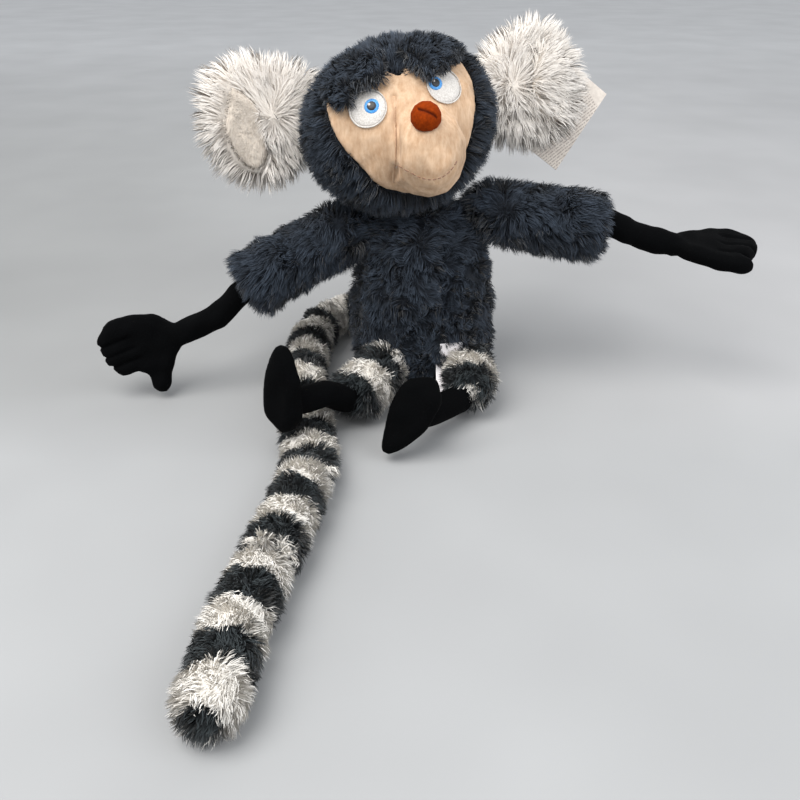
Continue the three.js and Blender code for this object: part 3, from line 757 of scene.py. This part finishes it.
def build_eye(side):
    """An embroidered white with its rim, and on it the iris, the pupil and a glint, each a little higher."""
    x, z, _ = in_head(centre(f"eye_{side}"))
    inner = (x + GAZE[side][0], z + GAZE[side][1])
    white = patch(f"eye_white_{side}", (x, z), EYE_RADIUS, lift=0.3, thickness=0.7, ridge=0.12, threads=36)
    dress(white, "head", EYE_WHITE, [f"eye_{side}"])
    rim = stitch_tube(f"eye_rim_{side}", [eye_ring(x, z, EYE_RADIUS)], RIM_RADIUS)
    dress(rim, "head", EYE_WHITE)
    iris = patch(f"eye_iris_{side}", inner, IRIS_RADIUS, lift=1.0, thickness=0.35, rings=5, spokes=48,
                 ridge=0.06, threads=16)
    dress(iris, "head", IRIS)
    pupil = patch(f"eye_pupil_{side}", inner, PUPIL_RADIUS, lift=1.35, thickness=0.3, rings=4, spokes=36,
                  ridge=0.04, threads=12)
    dress(pupil, "head", PUPIL)
    glint_place = (inner[0] + GLINT[0], inner[1] + GLINT[1])
    glint = patch(f"eye_glint_{side}", glint_place, GLINT_RADIUS, lift=1.7, thickness=0.2, rings=3, spokes=18)
    dress(glint, "head", EYE_WHITE)


for eye_side in SIDES:
    build_eye(eye_side)


def suede_material():
    n = Nodes("nose_suede")
    nap = n.noise(650, 4)
    cloud = n.noise(90, 3)
    colour = n.mix(cloud, n.ramp(nap, [(0.3, (96, 30, 1)), (0.7, (150, 56, 3))]), rgba((122, 44, 1)))
    # Painted shade: the colour darkens along the crease, where shade falls.
    groove = n.ramp(n.attribute("crease"), [(0.0, WHITE_TONE), (1.0, (120, 96, 84))])
    n.set(Base_Color=n.mix(1.0, colour, groove, "MULTIPLY"), Roughness=0.85)
    n.shader.inputs["Specular IOR Level"].default_value = 0.08
    n.bump(nap, 0.4, 0.4 * MM)
    return n.material


CREASE_TURN = math.radians(50)
CREASE_SIZE = 0.9  # millimetres, its half width and its depth
CREASE_REACH = 4.5  # millimetres to each side of the nose's middle


def build_nose():
    """The padded nose, with one slanting crease pressed into it and darkened with painted shade."""
    nose = stuffed("nose_suede", ["nose"], 0.7, 4)
    points, _ = arrays(nose.data)
    middle = in_head(centre("nose"))
    x, z, _ = (in_head(points) - middle).T
    across = x * math.cos(CREASE_TURN) + z * math.sin(CREASE_TURN)
    crease = np.exp(-(across / CREASE_SIZE) ** 2) * (np.abs(x) < CREASE_REACH)
    displace(nose, -crease * CREASE_SIZE * MM)
    give_values(nose, "crease", crease)
    dress(nose, "head", suede_material(), ["nose"])


build_nose()


# The mouth in head coordinates: a curve from its right end to its left, drawn towards a low point.
MOUTH_RIGHT = np.array([-15.5, -31.0])
MOUTH_LOW = np.array([-1.0, -54.5])
MOUTH_LEFT = np.array([14.0, -39.5])
MOUTH_STITCHES = 12
MOUTH_LIFT = 2.3  # millimetres off the face
THREAD_RADIUS = 0.42


def along_curve(start, control, end, t):
    return (1 - t) ** 2 * start + 2 * t * (1 - t) * control + t * t * end


def build_mouth():
    """Backstitches along a curve, with a gap between one and the next."""
    paths = []
    for k in range(MOUTH_STITCHES):
        line = []
        for part in np.linspace(0.1, 0.85, 5):
            x, z = along_curve(MOUTH_RIGHT, MOUTH_LOW, MOUTH_LEFT, (k + part) / MOUTH_STITCHES)
            line.append(on_face(x, z, MOUTH_LIFT)[0])
        paths.append(line)
    mouth = stitch_tube("mouth_stitches", paths, THREAD_RADIUS)
    dress(mouth, "head", BROWN_THREAD)


def build_muzzle_seam():
    """The sunk seam on the muzzle's right, a fine line of thread between the two cloths."""
    line = []
    for a, b in zip(MUZZLE_SEAM[:-1], MUZZLE_SEAM[1:]):
        for part in np.linspace(0, 1, 8, endpoint=False):
            x, z = a + (b - a) * part
            line.append(on_face(x, z, SEAM_THREAD_LIFT)[0])
    seam = stitch_tube("muzzle_seam", [line], SEAM_THREAD_RADIUS)
    dress(seam, "head", SEAM_THREAD)


build_mouth()
build_muzzle_seam()


# ---------- ears ----------
EAR_PART = 6  # millimetres from an ear's middle to the place its pile fans out from, towards the head
LINING_MARGIN = 3.2  # millimetres from the lining within which the long hair doesn't grow


def build_ear(side, sign):
    """An ear's long-haired back and its lining: tufts on the left one, a short nap on the right one."""
    node, lining = f"ear_back_{side}", f"ear_front_{side}"
    body = f"ear_{side}"
    middle = centre(node)
    skin = stuffed(f"ear_plush_{side}", [node], 2, 5, inset=1)
    inner_tree = tree_of(lining)

    def away(points):
        offset = points - middle
        flat = np.outer(offset @ HEAD_LEFT, HEAD_LEFT) + np.outer(offset @ HEAD_UP, HEAD_UP)
        return unit(flat + sign * HEAD_LEFT * EAR_PART * MM)

    def comb(points, normals):
        return 1.1 * away(points) + 0.25 * HEAD_FRONT + 0.3 * swirl(points, 12, 51)

    def off_lining(points, normals):
        return np.array([inner_tree.find_nearest(point)[3] > LINING_MARGIN * MM for point in points])

    furry(f"ear_fur_{side}", skin, body, "white_plush", WHITE, comb, seed=52 + sign, per_cm2=130,
          keep=off_lining, length=EAR_PILE, lift=0.7, wild=0.22, clump=26, width=0.6, softness=0.85)
    dress(skin, body, WHITE_SKIN, [node])
    inner = stuffed(f"ear_lining_{side}", [lining], 1.3, 5)
    lumpy(inner, 0.5, 20, 54)
    if side == "left":
        furry(f"ear_tufts_{side}", inner, body, "white_plush", WHITE, comb, seed=57, per_cm2=130,
              length=TUFT_PILE, wild=0.3, clump=26, width=0.6, softness=0.85)
    else:
        furry(f"ear_nap_{side}", inner, body, "cream_plush", CREAM_NAP, comb, seed=55, per_cm2=150,
              length=NAP_PILE, width=0.4, lift=0.6, clump=8, softness=0.9)
    dress(inner, body, CREAM, [lining])


for ear_side, ear_sign in SIDES.items():
    build_ear(ear_side, ear_sign)


# ---------- arms ----------
FINGERS = 4
FINGER_GROOVE = 1.1  # millimetres, half the width of the valley between two fingers
FINGER_DEPTH = 1.8


def between_fingers(points, hand, wrist):
    """How near each point is to one of the three stitched lines that part the four fingers, from 0 to 1."""
    cloud = arrays(NODES[hand].data)[0]
    _, _, axes = np.linalg.svd(cloud - cloud.mean(0), full_matrices=False)
    along = axes[0] * np.sign((cloud.mean(0) - wrist) @ axes[0])
    reach = (points - wrist) @ along / ((cloud - wrist) @ along).max()
    across = (points - cloud.mean(0)) @ axes[1]
    tips = ((cloud - wrist) @ along) > 0.85 * ((cloud - wrist) @ along).max()
    side = (cloud[tips] - cloud.mean(0)) @ axes[1]
    lines = np.linspace(side.min(), side.max(), FINGERS + 1)[1:FINGERS]
    groove = sum(np.exp(-((across - line) / (FINGER_GROOVE * MM)) ** 2) for line in lines)
    return groove * np.clip((reach - 0.5) / 0.1, 0, 1)


def velour_limb(name, upper, end, last_joint, seed):
    """A velour tube and its hand or foot in one cloth, across the joint between the two bodies."""
    limb = stuffed(name, [upper, end], 1.4, 8)
    lumpy(limb, 0.5, 17, seed)
    if end.startswith("hand"):
        displace(limb, -FINGER_DEPTH * MM * between_fingers(arrays(limb.data)[0], end, last_joint))
    limb.data.materials.clear()
    limb.data.materials.append(BLACK)
    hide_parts(upper, end)
    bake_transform(limb)


def build_arm(side, sign):
    shoulder = joint_at(f"shoulder_lift_{side}")
    elbow = joint_at(f"elbow_{side}")
    wrist = joint_at(f"wrist_{side}")
    along = unit(elbow - shoulder)
    sleeve_nodes = [f"sleeve_{side}", f"sleeve_stuffing_{side}"]
    skin = stuffed(f"sleeve_plush_{side}", sleeve_nodes[:1], 2.5, 6, hull=True, inset=3)

    def share_of(points):
        """How far along the sleeve each point is, from 0 at the shoulder to 1 at the elbow."""
        return np.clip((points - shoulder) @ along / np.linalg.norm(elbow - shoulder), 0, 1)

    def comb(points, normals):
        """Towards the cuff, except at the shoulder, where the pile lies back over the seam."""
        back = np.exp(-(share_of(points) / 0.12) ** 2)[:, None]
        return (0.8 - 1.5 * back) * along - 0.3 * (1 - back) * UP + 0.55 * swirl(points, 14, 61)

    def length(points):
        """Longer at both ends, to cover the seams there."""
        share = share_of(points)
        return PILE + SEAM_EXTRA * share ** 3 + SEAM_EXTRA * (1 - share) ** 4

    furry(f"sleeve_fur_{side}", skin, f"arm_{side}", "slate_plush", SLATE, comb, seed=62 + sign,
          per_cm2=190, length=length, clump=22, pull=0.65, wild=0.28)
    dress(skin, f"arm_{side}", SLATE_SKIN, sleeve_nodes)

    velour_limb(f"lower_arm_{side}", f"forearm_{side}", f"hand_{side}", wrist, 65 + sign)


# ---------- legs ----------
BAND_RAGGED = 0.8  # millimetres that a hair's root may stray over the edge of its band
THIGH_BAND = 15  # millimetres, the width of a band
THIGH_WHITE = {"right": 25, "left": 10}  # a white band's middle, in millimetres from the hip
THIGH_WOBBLE = 2


def banded(obj, is_white):
    """Gives each face of a skin the white or the dark backing."""
    obj.data.materials.clear()
    obj.data.materials.append(BAND_SKIN_WHITE)
    obj.data.materials.append(BAND_SKIN_DARK)
    middles = np.array([p.center for p in obj.data.polygons])
    obj.data.polygons.foreach_set("material_index", np.where(is_white(middles), 0, 1).astype(np.int32))


def banded_fur(name, skin, body, comb, is_white, seed, per_cm2, keep, **style):
    """White and dark hair in their own bands, with ragged edges between them."""
    for tone, material in (("white", BAND_WHITE), ("dark", BAND_DARK)):
        def chosen(points, normals, tone=tone):
            shifts = np.random.default_rng(seed + 7).normal(size=points.shape)
            ragged = points + shifts * BAND_RAGGED * MM
            return (is_white(ragged) == (tone == "white")) & keep(points, normals)

        furry(f"{name}_{tone}", skin, body, "striped_plush", material, comb, seed, per_cm2, chosen, **style)


def build_leg(side, sign):
    hip = joint_at(f"hip_lift_{side}")
    knee = joint_at(f"knee_{side}")
    along = unit(knee - hip)
    nodes = [f"thigh_{side}", f"thigh_stuffing_{side}"]
    skin = stuffed(f"thigh_plush_{side}", nodes[:1], 2.2, 6, hull=True, inset=3)

    def is_white(points):
        wobble = waves(points, 45, 71) * THIGH_WOBBLE * MM
        distance = (points - hip) @ along + wobble
        return np.cos((distance - THIGH_WHITE[side] * MM) / (THIGH_BAND * MM) * math.pi) > 0

    def comb(points, normals):
        return 0.75 * along + 0.1 * UP + 0.45 * swirl(points, 14, 72)

    banded(skin, is_white)
    banded_fur(f"thigh_fur_{side}", skin, f"leg_{side}", comb, is_white, seed=74 + sign, per_cm2=150,
               keep=above_floor(2.5), length=THIGH_PILE, clump=22, pull=0.65, wild=0.28)
    dress(skin, f"leg_{side}", None, nodes)
    ankle = joint_at(f"ankle_{side}")
    velour_limb(f"lower_leg_{side}", f"shin_{side}", f"foot_{side}", ankle, 77 + sign)


for limb_side, limb_sign in SIDES.items():
    build_arm(limb_side, limb_sign)
    build_leg(limb_side, limb_sign)


# ---------- tail ----------
TAIL_BAND = 18.5 * MM  # the width of a band
LAST_WHITE = 3 * MM  # from the end of the tail's middle line back to the middle of the last white band
TAIL_TIP_RADIUS = 13 * MM
TAIL_SECTIONS = 5
SECTION_STEPS = 24
TAIL_JOINTS = [joint_at("tail_swing")] + [joint_at(f"tail_bend_{k}") for k in range(1, TAIL_SECTIONS)]


def tail_line():
    """The tail's middle line, a curve through each section's joints and middle."""
    last = f"tail_section_{TAIL_SECTIONS}"
    points = []
    for k in range(TAIL_SECTIONS):
        start = TAIL_JOINTS[k]
        if k < TAIL_SECTIONS - 1:
            end = TAIL_JOINTS[k + 1]
        else:
            end = np.array([centre(last)[0] * 2 - start[0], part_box(last)[0][1] + TAIL_TIP_RADIUS, start[2]])
        middle = centre(f"tail_section_{k + 1}") if k else arrays(NODES["tail_section_1"].data)[0].mean(0)
        control = 2 * middle - (start + end) / 2
        for t in np.linspace(0, 1, SECTION_STEPS, endpoint=k == TAIL_SECTIONS - 1):
            points.append(along_curve(start, control, end, t))
    return np.array(points)


TAIL = tail_line()
TAIL_AT = np.concatenate([[0], np.cumsum(np.linalg.norm(np.diff(TAIL, axis=0), axis=1))])
TAIL_ALONG = unit(np.gradient(TAIL, axis=0))


def tail_place(points):
    """How far along the tail each point is, in metres, and the tail's direction there."""
    near = nearest(points, TAIL)
    along = TAIL_ALONG[near]
    return TAIL_AT[near] + ((points - TAIL[near]) * along).sum(1), along


def tail_white(points):
    distance, _ = tail_place(points)
    white_middle = TAIL_AT[-1] - LAST_WHITE
    return np.cos(math.pi * (distance - white_middle) / TAIL_BAND) > 0


def tail_comb(points, normals):
    return 0.6 * tail_place(points)[1] + 0.45 * swirl(points, 14, 81)


def build_tail():
    for k in range(1, TAIL_SECTIONS + 1):
        node = f"tail_section_{k}"
        skin = stuffed(f"tail_plush_{k}", [node], 2.5, 5, inset=3.5)
        banded(skin, tail_white)
        banded_fur(f"tail_fur_{k}", skin, f"tail_{k}", tail_comb, tail_white, seed=82 + k,
                   per_cm2=180, keep=above_floor(2.5), length=PILE, clump=22, pull=0.55, softness=0.8)
        dress(skin, f"tail_{k}", None, [node])


build_tail()


# ---------- tags and threads ----------
ROW_PITCH = 1.9  # millimetres between the rows of dashes on the card
ROW_HALF = 0.2  # half the height of a dash, as a share of the pitch
DASHES_PER_MM = 0.9
PRINT_REACH = 27  # millimetres to each side of the card's middle


def card_material():
    """Pale card with rows of plain dashes, no lettering."""
    n = Nodes("tag_card")
    points, _ = merged(["hang_tag"])
    middle = points.mean(0)
    _, _, axes = np.linalg.svd(points - middle, full_matrices=False)
    place = n.place()

    def measure(axis):
        """Millimetres from the card's middle along an axis."""
        inputs = {0: place, 1: tuple(float(v) for v in axis)}
        dot = n.add("ShaderNodeVectorMath", inputs, operation="DOT_PRODUCT").outputs["Value"]
        return n.math("MULTIPLY", n.math("SUBTRACT", dot, float(middle @ axis)), 1 / MM)

    length, width = measure(axes[0]), measure(axes[1])
    row = n.math("FRACT", n.math("MULTIPLY", width, 1 / ROW_PITCH))
    line = n.math("LESS_THAN", n.math("ABSOLUTE", n.math("SUBTRACT", row, 0.5)), ROW_HALF)
    row_number = n.math("FLOOR", n.math("MULTIPLY", width, 1 / ROW_PITCH))
    along_row = n.math("MULTIPLY", length, DASHES_PER_MM)
    cell = n.add("ShaderNodeCombineXYZ", {"X": along_row, "Y": row_number}).outputs[0]
    dashes = n.add("ShaderNodeTexNoise", {"Vector": cell, "Scale": 1.0, "Detail": 1.0}).outputs["Fac"]
    ink = n.math("MULTIPLY", line, n.math("GREATER_THAN", dashes, 0.46))
    inside = n.math("LESS_THAN", n.math("ABSOLUTE", length), PRINT_REACH)
    ink = n.math("MULTIPLY", ink, inside)
    paper = n.ramp(n.noise(400, 3), [(0.3, (202, 192, 182)), (0.7, (222, 213, 203))])
    n.set(Base_Color=n.mix(n.math("MULTIPLY", ink, 0.6), paper, rgba((120, 104, 96))), Roughness=0.6)
    n.bump(n.noise(900, 2), 0.1, 0.1 * MM)
    return n.material


def nylon_material():
    n = Nodes("tag_nylon")
    cloud = n.noise(300, 2)
    n.set(Base_Color=n.ramp(cloud, [(0.3, (208, 214, 216)), (0.7, (232, 236, 238))]), Roughness=0.3)
    return n.material


def tape_material():
    n = Nodes("label_satin")
    inputs = {"Vector": n.place(), "Scale": 700.0, "Distortion": 0.6}
    weave = n.add("ShaderNodeTexWave", inputs).outputs["Fac"]
    colour = n.ramp(weave, [(0.2, (228, 222, 225)), (0.8, (246, 243, 244))])
    bars = n.ramp(n.attribute("bars"), [(0.4, WHITE_TONE), (0.6, (150, 148, 152))])
    n.set(Base_Color=n.mix(1.0, colour, bars, "MULTIPLY"), Roughness=0.42)
    n.shader.inputs["Sheen Weight"].default_value = 0.3
    n.bump(weave, 0.2, 0.1 * MM)
    return n.material


LABEL_SIZE = (18, 44)  # millimetres, flat
LABEL_BARS = (30, 35)  # two plain bars, in millimetres from the sewn edge
BAR_HALF = 0.9
BAR_MARGIN = 3.5
LABEL_OFFSET = np.array([6, 12, -5])  # from the flap's joint to the sewn edge
LABEL_TURN = 12  # degrees about the upright
LABEL_LEAN = 55  # degrees that the lower part leans out
LEAN_START = 0.3  # where the lean begins, and over what share of the length it grows
LEAN_GROWTH = 0.15
TAPE_THICKNESS = 0.35
TAPE_ROWS = 60
TAPE_COLUMNS = 25


def build_label():
    """A satin tape that leaves the seam under the fur and bends outwards, with two plain bars on it."""
    width, length = LABEL_SIZE
    across = np.linspace(-width / 2, width / 2, TAPE_COLUMNS)
    down = np.linspace(0, length, TAPE_ROWS)
    lean = np.radians(LABEL_LEAN * np.clip((down / length - LEAN_START) / LEAN_GROWTH, 0, 1))
    gap = length / (TAPE_ROWS - 1) * MM
    drop = np.concatenate([[0], np.cumsum(np.cos(lean[1:]))]) * gap
    out = np.concatenate([[0], np.cumsum(np.sin(lean[1:]))]) * gap
    turn = math.radians(LABEL_TURN)
    wide = np.array([math.cos(turn), math.sin(turn), 0])
    start = joint_at("care_label_flap") + LABEL_OFFSET * MM
    points, bars = [], []
    for k in range(TAPE_ROWS):
        line = start + np.array([0, -out[k], -drop[k]])
        in_bar = any(abs(down[k] - row) < BAR_HALF for row in LABEL_BARS)
        for x in across:
            points.append(line + wide * x * MM)
            bars.append(float(in_bar and abs(x) < width / 2 - BAR_MARGIN))
    faces = []
    for k in range(TAPE_ROWS - 1):
        for column in range(TAPE_COLUMNS - 1):
            corner = k * TAPE_COLUMNS + column
            below = corner + TAPE_COLUMNS
            faces.append([corner, below, below + 1, corner + 1])
    tape = mesh_object("care_label_tape", np.array(points), faces)
    give_values(tape, "bars", bars)
    solidify = tape.modifiers.new("thickness", "SOLIDIFY")
    solidify.thickness = TAPE_THICKNESS * MM
    settle(tape)
    dress(tape, "care_label", tape_material(), ["care_label"])


def paint(node, material):
    """Gives a CAD node that shows as it is its material."""
    NODES[node].data.materials.clear()
    NODES[node].data.materials.append(material)


def build_small_parts():
    paint("hang_tag", card_material())
    paint("tag_fastener", nylon_material())
    build_label()
    for node in NODES:
        if node.endswith("_thread") or "_thread_" in node:
            paint(node, DARK_THREAD)


build_small_parts()


# ---------- floor and light ----------
LIGHT_TARGET = (0, 0, 0.1)
FLOOR_REACH = 12.0


def build_stage():
    """A wide floor with painted light on it: a little lighter to the right behind the toy, and paler far
    away.
    """
    n = Nodes("backdrop")
    split = n.add("ShaderNodeSeparateXYZ", {"Vector": n.place()})
    side = split.outputs["X"]
    depth = split.outputs["Y"]
    # Painted light and shade behind the toy: a tone that runs from darker on the left to lighter on the
    # right.
    behind_share = n.math("ADD", n.math("MULTIPLY", depth, 12.0), 1.3)
    side_share = n.math("ADD", n.math("MULTIPLY", side, 1.4), 0.5)
    behind_tone = n.ramp(side_share, [(0.0, (141, 142, 142)), (1.0, (169, 169, 170))])
    behind = n.ramp(behind_share, [(0.0, grey(0)), (1.0, WHITE_TONE)])
    tone = n.mix(behind, rgba((157, 158, 159)), behind_tone)
    # Painted light: the floor is paler far away, where the lamps light it less.
    far = n.ramp(n.math("MULTIPLY", depth, 0.45), [(0.1, grey(0)), (0.9, WHITE_TONE)])
    tone = n.mix(far, tone, rgba((200, 201, 202)))
    grain = n.ramp(n.noise(6, 2), [(0.3, grey(244)), (0.7, WHITE_TONE)])
    n.set(Base_Color=n.mix(1.0, tone, grain, "MULTIPLY"), Roughness=0.85)
    points = [(x, y, 0.0) for y in (-FLOOR_REACH, FLOOR_REACH) for x in (-FLOOR_REACH, FLOOR_REACH)]
    floor = mesh_object("floor", np.array(points), [[0, 1, 3, 2]])
    floor.data.materials.append(n.material)


def add_light(name, place, size, power, colour):
    """A square soft light that looks at the middle of the toy."""
    data = bpy.data.lights.new(name, "AREA")
    data.shape = "RECTANGLE"
    data.size = size
    data.size_y = size
    data.energy = power
    data.color = colour
    light = bpy.data.objects.new(name, data)
    light.location = place
    aim = Vector(LIGHT_TARGET) - Vector(place)
    light.rotation_euler = aim.to_track_quat("-Z", "Y").to_euler()
    bpy.context.scene.collection.objects.link(light)


def build_light():
    """A pale sky, a warm key light from the upper left and a cool fill from the right."""
    world = bpy.data.worlds.new("world")
    world.use_nodes = True
    sky = world.node_tree.nodes["Background"]
    sky.inputs["Color"].default_value = (0.88, 0.9, 0.93, 1)
    sky.inputs["Strength"].default_value = 0.86
    bpy.context.scene.world = world
    add_light("key", (-0.5, -0.5, 1.2), size=1.0, power=22, colour=(1, 0.985, 0.96))
    add_light("fill", (0.9, -0.7, 0.8), size=1.2, power=10.5, colour=(0.96, 0.98, 1))
    bpy.context.scene.view_settings.view_transform = "Standard"


build_stage()
build_light()

bpy.context.view_layer.update()
